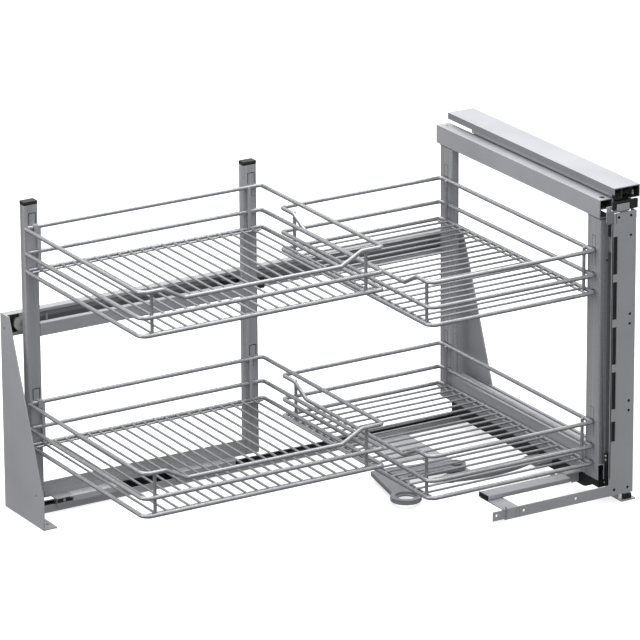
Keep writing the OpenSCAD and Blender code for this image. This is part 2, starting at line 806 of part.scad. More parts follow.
tube_z = frame_foot_z - 6;
y_tube = y_frame + 28;
x_tube = x_column - bar_reach - 1.6;

module bar_bracket() {
  x0 = x_column - bar_reach;
  back = y_door + column_t;
  color(steel) {
    difference() {
      block([x0 - 20, back, column_foot_z + 1], [x0 + 33, back + 2, tube_z - 2]);
      bar_y([x0 - 13.6, back - 1, column_foot_z + 9.4], door_hole_r, 4);
    }
    block([x0 - 2, back, tube_z - 2], [x0 + 26, y_tube + tube_w - 2, tube_z]);
  }
}

module cross_tube() {
  color(steel) tube([x_tube, y_tube, tube_z], [x_frame - 33, y_tube + tube_w, tube_z + tube_h],
    tube_t, 0);
}

module cross_tube_cap() {
  color(black) {
    block([x_tube - 2, y_tube, tube_z], [x_tube, y_tube + tube_w, tube_z + tube_h]);
    block([x_tube, y_tube + tube_t, tube_z + tube_t],
      [x_tube + 10, y_tube + tube_w - tube_t, tube_z + tube_h - tube_t]);
  }
}

// Joins the tube's right end to the frame
module tube_end_plate() {
  y = y_tube + tube_w;
  color(steel) difference() {
    union() {
      block([x_frame - 53, y, tube_z - 10], [x_frame, y + 2.5, tube_z + 15]);
      block([x_frame - 33, y - 12, tube_z + tube_h], [x_frame, y, tube_z + tube_h + 2.5]);
    }
    for (z = [-4, 9]) bar_y([x_frame - 42, y - 1, tube_z + z], screw_hole_r, 5);
  }
}

// A curved arm under the baskets, on the side of the glide strip
arm_r = 220;
arm_w = 16;
arm_steps = 14;
module drag_arm() {
  z = frame_foot_z - arm_w;
  root = [x_frame - arm_w, y_frame + 0.745 * arm_r];
  c = root - arm_r * [cos(294), sin(294)];
  angles = [for (i = [0:arm_steps]) 251 + i * 43 / arm_steps];
  outer = [for (t = angles) c + (arm_r + arm_w / 2) * [cos(t), sin(t)]];
  inner = [for (i = [arm_steps:-1:0]) c + (arm_r - arm_w / 2) * [cos(angles[i]), sin(angles[i])]];
  color(grey_plastic) {
    translate([0, 0, z]) linear_extrude(arm_w / 2) polygon(concat(outer, inner));
    block([x_frame - arm_w - 11, root.y - 35.5, z], [x_frame, root.y + 6.5, z + arm_w / 2]);
    translate([c.x + arm_r * cos(251), c.y + arm_r * sin(251), z]) cylinder(h = arm_w / 2, r = 0.69 * arm_w);
  }
}

// ---- Rear carriage ----

y_post_back = y_post + post_d;

module carriage_post(x) {
  color(steel) difference() {
    tube([x, y_post, post_foot_z], [x + post_w, y_post_back, post_top_z], post_t, 2);
    for (z = rear_levels) {
      front = [x + post_w / 2 + 2, y_post - 1, z + basket_h + hook_over];
      for (side = [-hook_w / 2, hook_w / 2 - hook_slit])
        block(front + [side, 0, 0], front + [side + hook_slit, post_t + 2, hook_h]);
      block(front + [-hook_w / 2, 0, hook_h - hook_slit], front + [hook_w / 2, post_t + 2, hook_h]);
    }
  }
}

module carriage_left_post() { carriage_post(x_left_post); }
module carriage_right_post() { carriage_post(x_right_post); }

module post_caps() {
  color(black) for (x = [x_left_post, x_right_post]) {
    block([x, y_post, post_top_z], [x + post_w, y_post_back, post_top_z + cap_h]);
    block([x + post_t, y_post + post_t, post_top_z - 8],
      [x + post_w - post_t, y_post_back - post_t, post_top_z]);
  }
}

module carriage_top_beam() {
  color(steel) tube([x_left_post + post_w, y_post, beam_z], [x_right_post, y_post + 10, beam_z + beam_h],
    post_t, 0);
}

shelf_z = post_foot_z;
y_roller = y_floor_rail + floor_rail_d / 2;
floor_roller_z = rail_t + liner_t + fit_gap + floor_roller_r;
floor_roller_x = [x_left_post + 51.5, x_right_post - 60];
cheek = 1.5;
cheek_gap = 3.3;

// The lower beam is a stepped web between the posts. Two shelves reach over the floor rail,
// each with a lip in front and a fork for a floor roller below.
module carriage_floor_beam() {
  x0 = x_left_post + post_w;
  color(steel) {
    block([x0, y_post + 2, shelf_z + 9], [x_right_post, y_post + 4, shelf_z + 4 + low_beam_h]);
    block([x0, y_post, shelf_z], [x_right_post, y_post + 2, shelf_z + 11]);
    for (s = [[x_left_post + 35.5, x_left_post + 120.5], [x_right_post - 139, x_right_post - 31]]) {
      block([s[0], y_floor_rail - 3, shelf_z], [s[1], y_post + 4, shelf_z + 2]);
      block([s[0], y_floor_rail - 4.5, shelf_z - 10], [s[1], y_floor_rail - 3, shelf_z + 2]);
    }
    for (x = floor_roller_x, s = [-1, 1])
      difference() {
        block([x - 8, y_roller + s * (cheek_gap + cheek / 2) - cheek / 2, floor_roller_z - 4],
          [x + 8, y_roller + s * (cheek_gap + cheek / 2) + cheek / 2, shelf_z]);
        bar_y([x, y_roller - 20, floor_roller_z], axle_r - 1, 40);
      }
  }
}

// Plates between the baskets and the posts. The left one reaches past its post.
module rear_hangers() {
  color(steel) for (z = rear_levels, x = [[x_left_post + 3, x_left_post + 21], [x_right_post + 3, x_right_post + 21]])
    block([x[0], y_post - rear_hanger_t, z - rim_wire_d / 2],
      [x[1], y_post, z + basket_h + rim_wire_d / 2]);
}

top_roller_y = y_rail + rail_d / 2 - roller_w / 2;
top_roller_x = [x_left_post + post_w / 2, x_right_post + post_w / 2];

// Axles of the four rollers, with a collar on each side of an upper roller
module roller_axles() {
  color(zinc) {
    for (x = top_roller_x) {
      bar_y([x, y_post_back, roller_z], axle_r + 3, top_roller_y - fit_gap - y_post_back);
      bar_y([x, y_post_back, roller_z], axle_r, top_roller_y + roller_w + 1 - y_post_back);
      bar_y([x, top_roller_y + roller_w + fit_gap, roller_z], axle_r + 1.5, 1);
    }
    for (x = floor_roller_x)
      bar_y([x, y_roller - cheek_gap - cheek, floor_roller_z], axle_r - 1, 2 * (cheek_gap + cheek));
  }
}

// A black catch beside the right post
module catch_block() {
  color(black) block([x_right_post + post_w, y_post + 4, beam_z + 6],
    [x_right_post + post_w + 16, y_post_back + 10, beam_z + 26]);
}

module wheel(p, r, w, bore) {
  color(nylon) difference() {
    bar_y(p, r, w);
    bar_y(p - [0, 1, 0], bore, w + 2);
  }
}

module left_top_roller() { wheel([top_roller_x[0], top_roller_y, roller_z], roller_r, roller_w, axle_r + fit_gap); }
module right_top_roller() { wheel([top_roller_x[1], top_roller_y, roller_z], roller_r, roller_w, axle_r + fit_gap); }
module floor_roller(x) {
  wheel([x, y_roller - 3, floor_roller_z], floor_roller_r, 6, axle_r - 1 + fit_gap);
}
module left_floor_roller() { floor_roller(floor_roller_x[0]); }
module right_floor_roller() { floor_roller(floor_roller_x[1]); }

// ---- Choice of piece ----

left_bracket();
left_foot_flange();
right_bracket();
right_foot_flange();
rear_top_rail();
rear_rail_tracks();
rear_rail_lips();
rear_floor_rail();
floor_rail_walls();
track_liner();
rail_screws();
top_cover();
top_runner_outer();
bottom_runner_outer();
runner_floor_angle();
front_bumper();
lever_base_plate();
lever_pivot_pin();
top_runner_middle();
bottom_runner_middle();
frame_top_rail();
frame_rear_post();
frame_front_post();
frame_bottom_rail();
frame_glide_strip();
top_runner_inner();
bottom_runner_inner();
upper_front_rim();
upper_front_floor();
lower_front_rim();
lower_front_floor();
front_hangers();
door_column();
column_spacers();
column_top_guide();
column_hanger_plate();
door_bar();
bar_screws();
bar_bracket();
cross_tube();
cross_tube_cap();
tube_end_plate();
drag_arm();
carriage_left_post();
carriage_right_post();
post_caps();
carriage_top_beam();
carriage_floor_beam();
upper_rear_rim();
upper_rear_floor();
lower_rear_rim();
lower_rear_floor();
rear_hangers();
roller_axles();
catch_block();
left_top_roller();
right_top_roller();
left_floor_roller();
right_floor_roller();
swing_lever();
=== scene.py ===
# %% [markdown]
# A pull-out for a blind corner cabinet: four wire baskets, a carriage that rolls
# sideways, and a front frame that the door pulls forward. The CAD model is the fixed
# frame: it gives every size and place, and this file gives the surfaces. Lengths are
# written in millimetres, as a maker reads them, and turned to metres in one place.

# %% Load the CAD model
import json
from math import acos, atan2, cos, degrees, hypot, pi, radians, sin, tan

import bmesh
import bpy
from mathutils import Matrix, Vector


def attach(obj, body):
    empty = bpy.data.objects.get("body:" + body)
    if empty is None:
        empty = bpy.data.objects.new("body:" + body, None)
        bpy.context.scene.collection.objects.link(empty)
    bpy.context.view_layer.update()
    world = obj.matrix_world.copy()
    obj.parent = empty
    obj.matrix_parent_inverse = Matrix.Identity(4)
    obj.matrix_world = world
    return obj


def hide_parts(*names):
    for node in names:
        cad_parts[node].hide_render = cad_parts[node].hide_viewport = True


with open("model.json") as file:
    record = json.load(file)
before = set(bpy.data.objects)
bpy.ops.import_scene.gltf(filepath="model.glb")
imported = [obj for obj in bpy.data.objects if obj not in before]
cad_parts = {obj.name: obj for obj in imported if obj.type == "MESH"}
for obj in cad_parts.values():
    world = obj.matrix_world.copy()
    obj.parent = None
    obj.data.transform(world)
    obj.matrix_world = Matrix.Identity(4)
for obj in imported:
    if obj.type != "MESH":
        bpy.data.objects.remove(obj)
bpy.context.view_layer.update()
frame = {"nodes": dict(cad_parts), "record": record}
MM = 0.001
bodies = frame["record"]["behaviour"]["bodies"]
body_of = {node: body for body, nodes in bodies.items() for node in nodes}
slot_of = {entry["node"]: entry["material_slot"] for entry in frame["record"]["subparts"]}

# %% [markdown]
# Colours are written as sRGB hex values, the numbers a colour picker shows. Blender
# works with linear light, so one function turns them. A second one adds a shader node
# with its settings and its links in one line, which keeps each material readable.

# %% Colour and node helpers
def colour(code):
    parts = [int(code[i:i + 2], 16) / 255 for i in (1, 3, 5)]
    return [p / 12.92 if p <= 0.04045 else ((p + 0.055) / 1.055) ** 2.4 for p in parts] + [1.0]


def add_node(tree, kind, settings=None, **inputs):
    made = tree.nodes.new(kind)
    for key, value in (settings or {}).items():
        setattr(made, key, value)
    for key, value in inputs.items():
        socket = made.inputs[key.replace("_", " ")]
        if isinstance(value, bpy.types.NodeSocket):
            tree.links.new(value, socket)
        else:
            socket.default_value = value
    return made


def new_material(name):
    material = bpy.data.materials.new(name)
    material.use_nodes = True
    tree = material.node_tree
    tree.nodes.clear()
    shader = add_node(tree, "ShaderNodeBsdfPrincipled")
    output = add_node(tree, "ShaderNodeOutputMaterial", Surface=shader.outputs[0])
    place = add_node(tree, "ShaderNodeTexCoord").outputs["Object"]
    return material, tree, shader, place


def per_metre(size_mm):
    return 1000.0 / size_mm


print("mid grey #808080 is", round(colour("#808080")[0], 3), "in linear light")

# %% [markdown]
# The posts, rails, brackets and the door column are steel sheet with a silver-grey
# powder coat. The powder melts into a smooth, satin skin with a very fine orange-peel
# and tiny aluminium flakes. The flakes are about 0.05 mm, too fine to show at this
# size, so they are drawn at 1.5 mm and very faint. The orange-peel is 3 mm wide, and the
# coat's thickness drifts over about 90 mm. Drawn tube keeps faint lines under its coat:
# 5 mm across, as long as the tube. Three more mixes of the same coat are painted light
# and shade: a dark one is painted shade for the insides of profiles, where little light
# comes, and for slots, gaps and studs; a middling one is painted shade for faces and
# plates in shade; a pale one is painted light for small plates and painted highlights
# on edges.

# %% Powder coat on steel sheet
FLAKE_MM, PEEL_MM, DRIFT_MM = 1.5, 3.0, 90.0
STREAK_MM, STREAK_LENGTH_MM = 5.0, 1500.0


def powder_coat(name, light, dark, roughness, drawn=None):
    material, tree, shader, place = new_material(name)
    flakes = add_node(tree, "ShaderNodeTexNoise", Vector=place, Scale=per_metre(FLAKE_MM),
                      Detail=3.0, Roughness=0.6)
    if drawn:
        across = [per_metre(STREAK_MM)] * 3
        across["XYZ".index(drawn)] = per_metre(STREAK_LENGTH_MM)
        streaks = add_node(tree, "ShaderNodeMapping", Vector=place, Scale=across)
        clouds = add_node(tree, "ShaderNodeTexNoise", Vector=streaks.outputs[0], Scale=1.0,
                          Detail=2.0)
    else:
        clouds = add_node(tree, "ShaderNodeTexNoise", Vector=place, Scale=per_metre(DRIFT_MM),
                          Detail=2.0)
    both = add_node(tree, "ShaderNodeMath", {"operation": "MULTIPLY"})
    tree.links.new(flakes.outputs["Fac"], both.inputs[0])
    tree.links.new(clouds.outputs["Fac"], both.inputs[1])
    tint = add_node(tree, "ShaderNodeValToRGB", Fac=both.outputs[0])
    low, high = tint.color_ramp.elements
    low.position, low.color = 0.12, colour(dark)
    high.position, high.color = 0.42, colour(light)
    tree.links.new(tint.outputs["Color"], shader.inputs["Base Color"])
    sheen = add_node(tree, "ShaderNodeMapRange", Value=clouds.outputs["Fac"])
    sheen.inputs["To Min"].default_value = roughness - 0.04
    sheen.inputs["To Max"].default_value = roughness + 0.06
    tree.links.new(sheen.outputs["Result"], shader.inputs["Roughness"])
    peel = add_node(tree, "ShaderNodeTexNoise", Vector=place, Scale=per_metre(PEEL_MM), Detail=1.0)
    skin = add_node(tree, "ShaderNodeBump", Height=peel.outputs["Fac"], Strength=0.12,
                    Distance=0.00005)
    tree.links.new(skin.outputs["Normal"], shader.inputs["Normal"])
    shader.inputs["Metallic"].default_value = 0.15
    return material


coated_steel = powder_coat("powder_coated_steel", "#b0b2b6", "#a4a6aa", 0.40)
# Painted shade: the same coat, dark, for channel insides, slots, gaps and studs.
painted_deep_shade = powder_coat("powder_coated_steel_painted_deep_shade", "#4c4e52", "#424448", 0.50)
# Painted shade: the same coat, middling, for faces and plates in shade.
painted_mid_shade = powder_coat("powder_coated_steel_painted_mid_shade", "#8a8c90", "#7f8185", 0.46)
coated_tube = powder_coat("powder_coated_drawn_tube", "#b7b9bd", "#8e9094", 0.36, drawn="Z")
# Painted light: the same coat, pale, for plates that catch more light and for highlighted edges.
painted_light_coat = powder_coat("powder_coated_steel_painted_light", "#c6c8cb", "#b9bbbe", 0.36)
print("powder coats:", coated_steel.name, painted_deep_shade.name)

# %% [markdown]
# The basket wires carry a thinner, brighter silver coat over drawn steel wire. Drawn
# wire is smoother than sheet, so it shows a narrow highlight along its whole length.
# More metal and less roughness give that line of light. Its tone drifts over 6 mm.

# %% Silver coat on drawn wire
WIRE_DRIFT_MM = 6.0


def wire_coat():
    material, tree, shader, place = new_material("silver_coated_wire")
    drawn = add_node(tree, "ShaderNodeTexNoise", Vector=place, Scale=per_metre(WIRE_DRIFT_MM),
                     Detail=2.0)
    tint = add_node(tree, "ShaderNodeValToRGB", Fac=drawn.outputs["Fac"])
    low, high = tint.color_ramp.elements
    low.position, low.color = 0.3, colour("#9c9ea2")
    high.position, high.color = 0.7, colour("#aeb0b3")
    tree.links.new(tint.outputs["Color"], shader.inputs["Base Color"])
    skin = add_node(tree, "ShaderNodeBump", Height=drawn.outputs["Fac"], Strength=0.1,
                    Distance=0.00004)
    tree.links.new(skin.outputs["Normal"], shader.inputs["Normal"])
    shader.inputs["Metallic"].default_value = 0.65
    shader.inputs["Roughness"].default_value = 0.27
    return material


silver_wire = wire_coat()
print("wire coat:", silver_wire.name)

# %% [markdown]
# The runner members, pins and axles are zinc-plated steel. Rolling leaves lines along
# the strip that are about 0.1 mm apart. They are drawn 0.8 mm apart, so that they show,
# and 60 mm long.

# %% Zinc-plated steel
LINE_MM, LINE_LENGTH_MM = 0.8, 60.0


def zinc_plate(name, along, light="#b9bcc0", dark="#a4a7ac"):
    material, tree, shader, place = new_material(name)
    across = [per_metre(LINE_MM)] * 3
    across["XYZ".index(along)] = per_metre(LINE_LENGTH_MM)
    stretched = add_node(tree, "ShaderNodeMapping", Vector=place, Scale=across)
    lines = add_node(tree, "ShaderNodeTexNoise", Vector=stretched.outputs[0], Scale=1.0,
                     Detail=2.0)
    tint = add_node(tree, "ShaderNodeValToRGB", Fac=lines.outputs["Fac"])
    low, high = tint.color_ramp.elements
    low.position, low.color = 0.3, colour(dark)
    high.position, high.color = 0.7, colour(light)
    tree.links.new(tint.outputs["Color"], shader.inputs["Base Color"])
    groove = add_node(tree, "ShaderNodeBump", Height=lines.outputs["Fac"], Strength=0.15,
                      Distance=0.00003)
    tree.links.new(groove.outputs["Normal"], shader.inputs["Normal"])
    shader.inputs["Metallic"].default_value = 0.8
    shader.inputs["Roughness"].default_value = 0.33
    return material


zinc_y = zinc_plate("zinc_plated_strip", "Y")
zinc_z = zinc_plate("zinc_plated_turned", "Z")
print("zinc:", zinc_y.name, zinc_z.name)

# %% [markdown]
# Caps, glides and guide blocks are moulded plastics: glass-filled nylon in black, acetal
# in white for the rollers, and ABS in mid grey for the lever. A mould's eroded steel
# gives them a fine grain, about 0.3 mm, drawn here at 0.8 mm so that it can show. The
# plastic's flow through the mould leaves a slow change of tone, over about 35 mm.

# %% Moulded plastics
GRAIN_MM, FLOW_MM = 0.8, 35.0


def moulded(name, light, dark, roughness, bump=0.25):
    material, tree, shader, place = new_material(name)
    grain = add_node(tree, "ShaderNodeTexNoise", Vector=place, Scale=per_metre(GRAIN_MM),
                     Detail=2.0)
    flow = add_node(tree, "ShaderNodeTexNoise", Vector=place, Scale=per_metre(FLOW_MM),
                    Detail=1.0)
    tint = add_node(tree, "ShaderNodeValToRGB", Fac=flow.outputs["Fac"])
    low, high = tint.color_ramp.elements
    low.position, low.color = 0.35, colour(dark)
    high.position, high.color = 0.65, colour(light)
    tree.links.new(tint.outputs["Color"], shader.inputs["Base Color"])
    skin = add_node(tree, "ShaderNodeBump", Height=grain.outputs["Fac"], Strength=bump,
                    Distance=0.00006)
    tree.links.new(skin.outputs["Normal"], shader.inputs["Normal"])
    shader.inputs["Roughness"].default_value = roughness
    shader.inputs["IOR"].default_value = 1.5
    return material


black_nylon = moulded("black_moulded_nylon", "#1d1e20", "#151617", 0.45)
white_acetal = moulded("white_moulded_acetal", "#e9e9e6", "#dededb", 0.30, bump=0.1)
grey_abs = moulded("grey_moulded_abs", "#8f9196", "#84868b", 0.42)
finish_of = {"grey_coated_steel": coated_steel, "light_coated_wire": silver_wire,
             "zinc_plated_steel": zinc_y, "black_plastic": black_nylon,
             "white_plastic": white_acetal, "grey_plastic": grey_abs}
print("finishes for slots:", sorted(finish_of))

# %% [markdown]
# Every CAD piece first gets the finish of its slot. Where its shape is already right it
# stays; the others are replaced further down by pieces with folds, bends and fasteners.

# %% Give each CAD piece its finish
for node, thing in frame["nodes"].items():
    thing.data.materials.clear()
    thing.data.materials.append(finish_of[slot_of[node]])
print("finished CAD pieces:", len(frame["nodes"]))

# %% [markdown]
# One function turns a mesh into an object that rides on its body, has its finish and
# hides the CAD nodes that it stands for. A second one closes a mesh that was built by
# hand: it turns all faces outward and keeps only the real edges sharp.

# %% Make, ride and replace
pieces = {}


def place_piece(name, mesh, material, body, stands_for=()):
    mesh.materials.clear()
    mesh.materials.append(material)
    thing = bpy.data.objects.new(name, mesh)
    bpy.context.scene.collection.objects.link(thing)
    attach(thing, body)
    if stands_for:
        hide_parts(*stands_for)
    pieces[name] = thing
    return thing


def close_mesh(name, build, smooth_angle=35):
    bmesh.ops.recalc_face_normals(build, faces=build.faces)
    mesh = bpy.data.meshes.new(name)
    build.to_mesh(mesh)
    build.free()
    for face in mesh.polygons:
        face.use_smooth = True
    mesh.set_sharp_from_angle(angle=radians(smooth_angle))
    return mesh


print("bodies that pieces can ride on:", sorted(bodies))

# %% [markdown]
# A bent wire is a line of corners with a bend radius at each. The line is filled in with
# arcs, and a ring of points is carried along it without twisting. Sweeping by hand
# gives closed loops that meet cleanly, which a bevelled curve doesn't at sharp turns.

# %% Bend and sweep a wire
STRAIGHT_RAD, ARC_STEP_DEG = 0.01, 9
END_FLAT, END_ROUND = 0.72, 0.28


def bent_line(corners, radii, closed):
    line = []
    count = len(corners)
    for i, corner in enumerate(corners):
        here = Vector(corner)
        if not closed and i in (0, count - 1):
            line.append(here)
            continue
        before, after = Vector(corners[i - 1]), Vector(corners[(i + 1) % count])
        into, out = (here - before).normalized(), (after - here).normalized()
        turn = acos(max(-1.0, min(1.0, into.dot(out))))
        if turn < STRAIGHT_RAD or radii[i] <= 0:
            line.append(here)
            continue
        cut = radii[i] * tan(turn / 2)
        start = here - into * cut
        axis = into.cross(out).normalized()
        centre = start + axis.cross(into) * radii[i]
        steps = max(3, int(degrees(turn) / ARC_STEP_DEG))
        for k in range(steps + 1):
            spin = Matrix.Rotation(turn * k / steps, 3, axis)
            line.append(centre + spin @ (start - centre))
    return line


def sweep(build, line, radius, closed, sides=14):
    count = len(line)
    tangents = []
    for i in range(count):
        a = line[i - 1] if (closed or i) else line[i]
        b = line[(i + 1) % count] if (closed or i < count - 1) else line[i]
        tangents.append((b - a).normalized())
    normal = tangents[0].orthogonal().normalized()
    rings = []
    for i, point in enumerate(line):
        if i:
            normal = tangents[i - 1].rotation_difference(tangents[i]) @ normal
        normal = (normal - tangents[i] * normal.dot(tangents[i])).normalized()
        side = tangents[i].cross(normal)
        rings.append([build.verts.new((point + (normal * cos(2 * pi * k / sides)
                      + side * sin(2 * pi * k / sides)) * radius) * MM) for k in range(sides)])
    shift = 0
    if closed:
        last = tangents[-1].rotation_difference(tangents[0]) @ normal
        first = (rings[0][0].co / MM - line[0]).normalized()
        angle = atan2(tangents[0].dot(last.cross(first)), last.dot(first))
        shift = round(-angle / (2 * pi / sides))
    spans = count if closed else count - 1
    for i in range(spans):
        move = shift if (closed and i == count - 1) else 0
        for k in range(sides):
            build.faces.new((rings[i][k], rings[i][(k + 1) % sides],
                             rings[(i + 1) % count][(k + 1 + move) % sides],
                             rings[(i + 1) % count][(k + move) % sides]))
    if not closed:
        for ring, tangent in ((rings[0], -tangents[0]), (rings[-1], tangents[-1])):
            middle = sum((v.co for v in ring), Vector()) / sides
            small = [build.verts.new(middle + (v.co - middle) * END_FLAT
                     + tangent * radius * END_ROUND * MM) for v in ring]
            for k in range(sides):
                build.faces.new((ring[k], ring[(k + 1) % sides], small[(k + 1) % sides],
                                 small[k]))
            build.faces.new(small)


test_line = bent_line([(0, 0, 0), (100, 0, 0), (100, 80, 0), (0, 80, 0)], [14] * 4, True)
print("a bent rectangle has", len(test_line), "points")

# %% [markdown]
# A basket rim is three wires round a rectangle. The top one dips along one side so that
# the things inside can be reached. Short uprights stand inside the loops and are
# resistance-welded to them: the wires sink into each other by almost two millimetres,
# and the pressed metal leaves a small bead. CAD has 5 mm wire. It is drawn as thick here
# as it looks in the photograph, 6.8 mm.

# %% Basket rims
RIM_R, UPRIGHT_R, BEAD_R = 3.4, 2.7, 2.2
WELD_GAP = 4.25          # from the middle of a rim wire to the middle of an upright
MIDDLE, TOP = 28.5, 69.0  # heights of the second and the third loop above the first
DIP, MARGIN, RUN, DIP_BEND_R = 19.0, 38.0, 36.0, 9
REAR_LEVELS = {"upper_rear": 402, "lower_rear": 114}
FRONT_LEVELS = {"upper_front": 350, "lower_front": 66.5}
REAR = dict(x=-412.5, y=-168.0, w=423.5, d=368.0)
FRONT = dict(x=60.5, y=-224.5, w=301.0, d=446.0)


def bead(build, centre, radius):
    grown = bmesh.ops.create_icosphere(build, subdivisions=2, radius=radius * MM)
    for v in grown["verts"]:
        v.co += Vector(centre) * MM


def basket_rim(name, x, y, z, w, d, corner, dip_front, uprights, body, node):
    build = bmesh.new()
    corners = [(x, y), (x + w, y), (x + w, y + d), (x, y + d)]
    for height in (0, MIDDLE):
        loop = [(px, py, z + height) for px, py in corners]
        sweep(build, bent_line(loop, corner, True), RIM_R, True)
    far = MARGIN + RUN
    if dip_front:
        top = [(x, y, TOP), (x + MARGIN, y, TOP), (x + far, y, TOP - DIP),
               (x + w - far, y, TOP - DIP), (x + w - MARGIN, y, TOP), (x + w, y, TOP),
               (x + w, y + d, TOP), (x, y + d, TOP)]
        radii = [corner[0]] + [DIP_BEND_R] * 4 + list(corner[1:])
    else:
        top = [(x, y, TOP), (x + w, y, TOP), (x + w, y + d, TOP), (x, y + d, TOP),
               (x, y + d - MARGIN, TOP), (x, y + d - far, TOP - DIP),
               (x, y + far, TOP - DIP), (x, y + MARGIN, TOP)]
        radii = list(corner) + [DIP_BEND_R] * 4
    loop = [(px, py, pz + z) for px, py, pz in top]
    sweep(build, bent_line(loop, radii, True), RIM_R, True)
    for ux, uy, wx, wy in uprights:
        ends = [Vector((ux, uy, z - 1)), Vector((ux, uy, z + TOP + 1))]
        sweep(build, ends, UPRIGHT_R, False)
        for height in (0, MIDDLE, TOP):
            bead(build, ((ux + wx) / 2, (uy + wy) / 2, z + height), BEAD_R)
    return place_piece(name, close_mesh(name, build), silver_wire, body,
                       (node,))


for level, z in REAR_LEVELS.items():
    low = REAR["y"]
    ups = [(ux, low + WELD_GAP, ux, low) for ux in (REAR["x"] + 21, REAR["x"] + 395.5)]
    basket_rim(level + "_rim_wire", z=z, corner=(14, 7, 7, 7), dip_front=True, uprights=ups,
               body="rear_carriage", node=level + "_rim", **REAR)
for level, z in FRONT_LEVELS.items():
    left, low = FRONT["x"], FRONT["y"]
    right, high = left + FRONT["w"], low + FRONT["d"]
    ups = [(left + WELD_GAP, uy, left, uy) for uy in (low + 16, high - 34)]
    ups += [(right - WELD_GAP, uy, right, uy) for uy in (low + 22, high - 22)]
    basket_rim(level + "_rim_wire", z=z, corner=(14, 4.5, 7, 7), dip_front=False,
               uprights=ups, body="front_frame", node=level + "_rim", **FRONT)
print("rims:", [n for n in pieces if "rim" in n])

# %% [markdown]
# A basket's floor is a mat of thin wires. Each end is welded to the inner side of the
# rim's lowest wire, with their tops level, so the rim stays smooth. Two cross wires
# underneath keep them apart.

# %% Basket floors
FLOOR_R, FLOOR_RISE = 1.9, 1.4  # the tops of mat and rim are level
SIDE_GAP = 20                   # space that the first and the last wire share
END_SINK = 1.2                  # from the middle of the rim wire to a mat wire's end
CROSS_IN, CROSS_SIDE, CROSS_DROP = 10, 7, 2.3
REAR_PITCH, FRONT_PITCH = 20.0, 22.0


def basket_floor(name, x, y, z, w, d, along_x, pitch, body, node):
    build = bmesh.new()
    height = z + FLOOR_RISE
    span, length = (d, w) if along_x else (w, d)

    def spot(along, across, level):
        return Vector((x + along, y + across, level) if along_x
                      else (x + across, y + along, level))

    count = int((span - SIDE_GAP) / pitch)
    first = (span - (count - 1) * pitch) / 2
    for i in range(count):
        step = first + i * pitch
        line = [spot(a, step, height) for a in (END_SINK, length - END_SINK)]
        sweep(build, line, FLOOR_R, False, sides=10)
    for off in (CROSS_IN, length - CROSS_IN):
        line = [spot(off, a, height - CROSS_DROP) for a in (CROSS_SIDE, span - CROSS_SIDE)]
        sweep(build, line, FLOOR_R, False, sides=10)
    return place_piece(name, close_mesh(name, build), silver_wire, body,
                       (node,))


for level, z in REAR_LEVELS.items():
    basket_floor(level + "_floor_mat", z=z, along_x=False, pitch=REAR_PITCH,
                 body="rear_carriage", node=level + "_floor", **REAR)
for level, z in FRONT_LEVELS.items():
    basket_floor(level + "_floor_mat", z=z, along_x=True, pitch=FRONT_PITCH,
                 body="front_frame", node=level + "_floor", **FRONT)
print("floors:", [n for n in pieces if "floor" in n])

# %% [markdown]
# Some CAD nodes are only halves of one bent sheet. They are welded with a boolean union
# first, so that no seam shows between them. The copies are made for this step only.

# %% Weld the nodes of one bent sheet
SAME_POINT = 0.00001  # in metres, as in all calls below that work on mesh points


def clean_copy(node):
    build = bmesh.new()
    build.from_mesh(frame["nodes"][node].data)
    bmesh.ops.remove_doubles(build, verts=build.verts, dist=SAME_POINT)
    return build


def one_sheet(nodes):
    solids = []
    for node in nodes:
        build = clean_copy(node)
        mesh = bpy.data.meshes.new(node + "_copy")
        build.to_mesh(mesh)
        build.free()
        solids.append(bpy.data.objects.new(node + "_copy", mesh))
        bpy.context.scene.collection.objects.link(solids[-1])
    for other in solids[1:]:
        weld = solids[0].modifiers.new("weld", "BOOLEAN")
        weld.operation, weld.solver, weld.object = "UNION", "EXACT", other
    build = bmesh.new()
    welded = solids[0].evaluated_get(bpy.context.evaluated_depsgraph_get())
    build.from_mesh(welded.to_mesh())
    for solid in solids:
        mesh = solid.data
        bpy.data.objects.remove(solid)
        bpy.data.meshes.remove(mesh)
    bmesh.ops.remove_doubles(build, verts=build.verts, dist=SAME_POINT)
    return build


test_build = clean_copy("left_bracket")
print("the left bracket has", len(test_build.verts), "points in CAD")
test_build.free()

# %% [markdown]
# Folded sheet and drawn tube never have knife edges: a press brake or a roll former
# leaves about half the sheet's thickness as a radius. The plain CAD solids become such
# pieces when their triangles are merged to flat faces and a small bevel runs along
# every sharp edge. Tube also gets the larger radius of its outer corners, and a moulded
# arm a shallow recess in its top. Weighted normals keep the flats flat.

# %% Round the edges
TOUCH = 0.0001
OUTER_EDGE_MIN = 0.1  # in metres: the long edges of a tube
FLAT_DEG, SHARP_DEG = 1.0, 40


def flat_faces(piece):
    weighted = piece.modifiers.new("flat_faces", "WEIGHTED_NORMAL")
    weighted.keep_sharp = True
    return piece


def box_of(vectors):
    low = Vector([min(v[i] for v in vectors) for i in range(3)])
    high = Vector([max(v[i] for v in vectors) for i in range(3)])
    return low, high


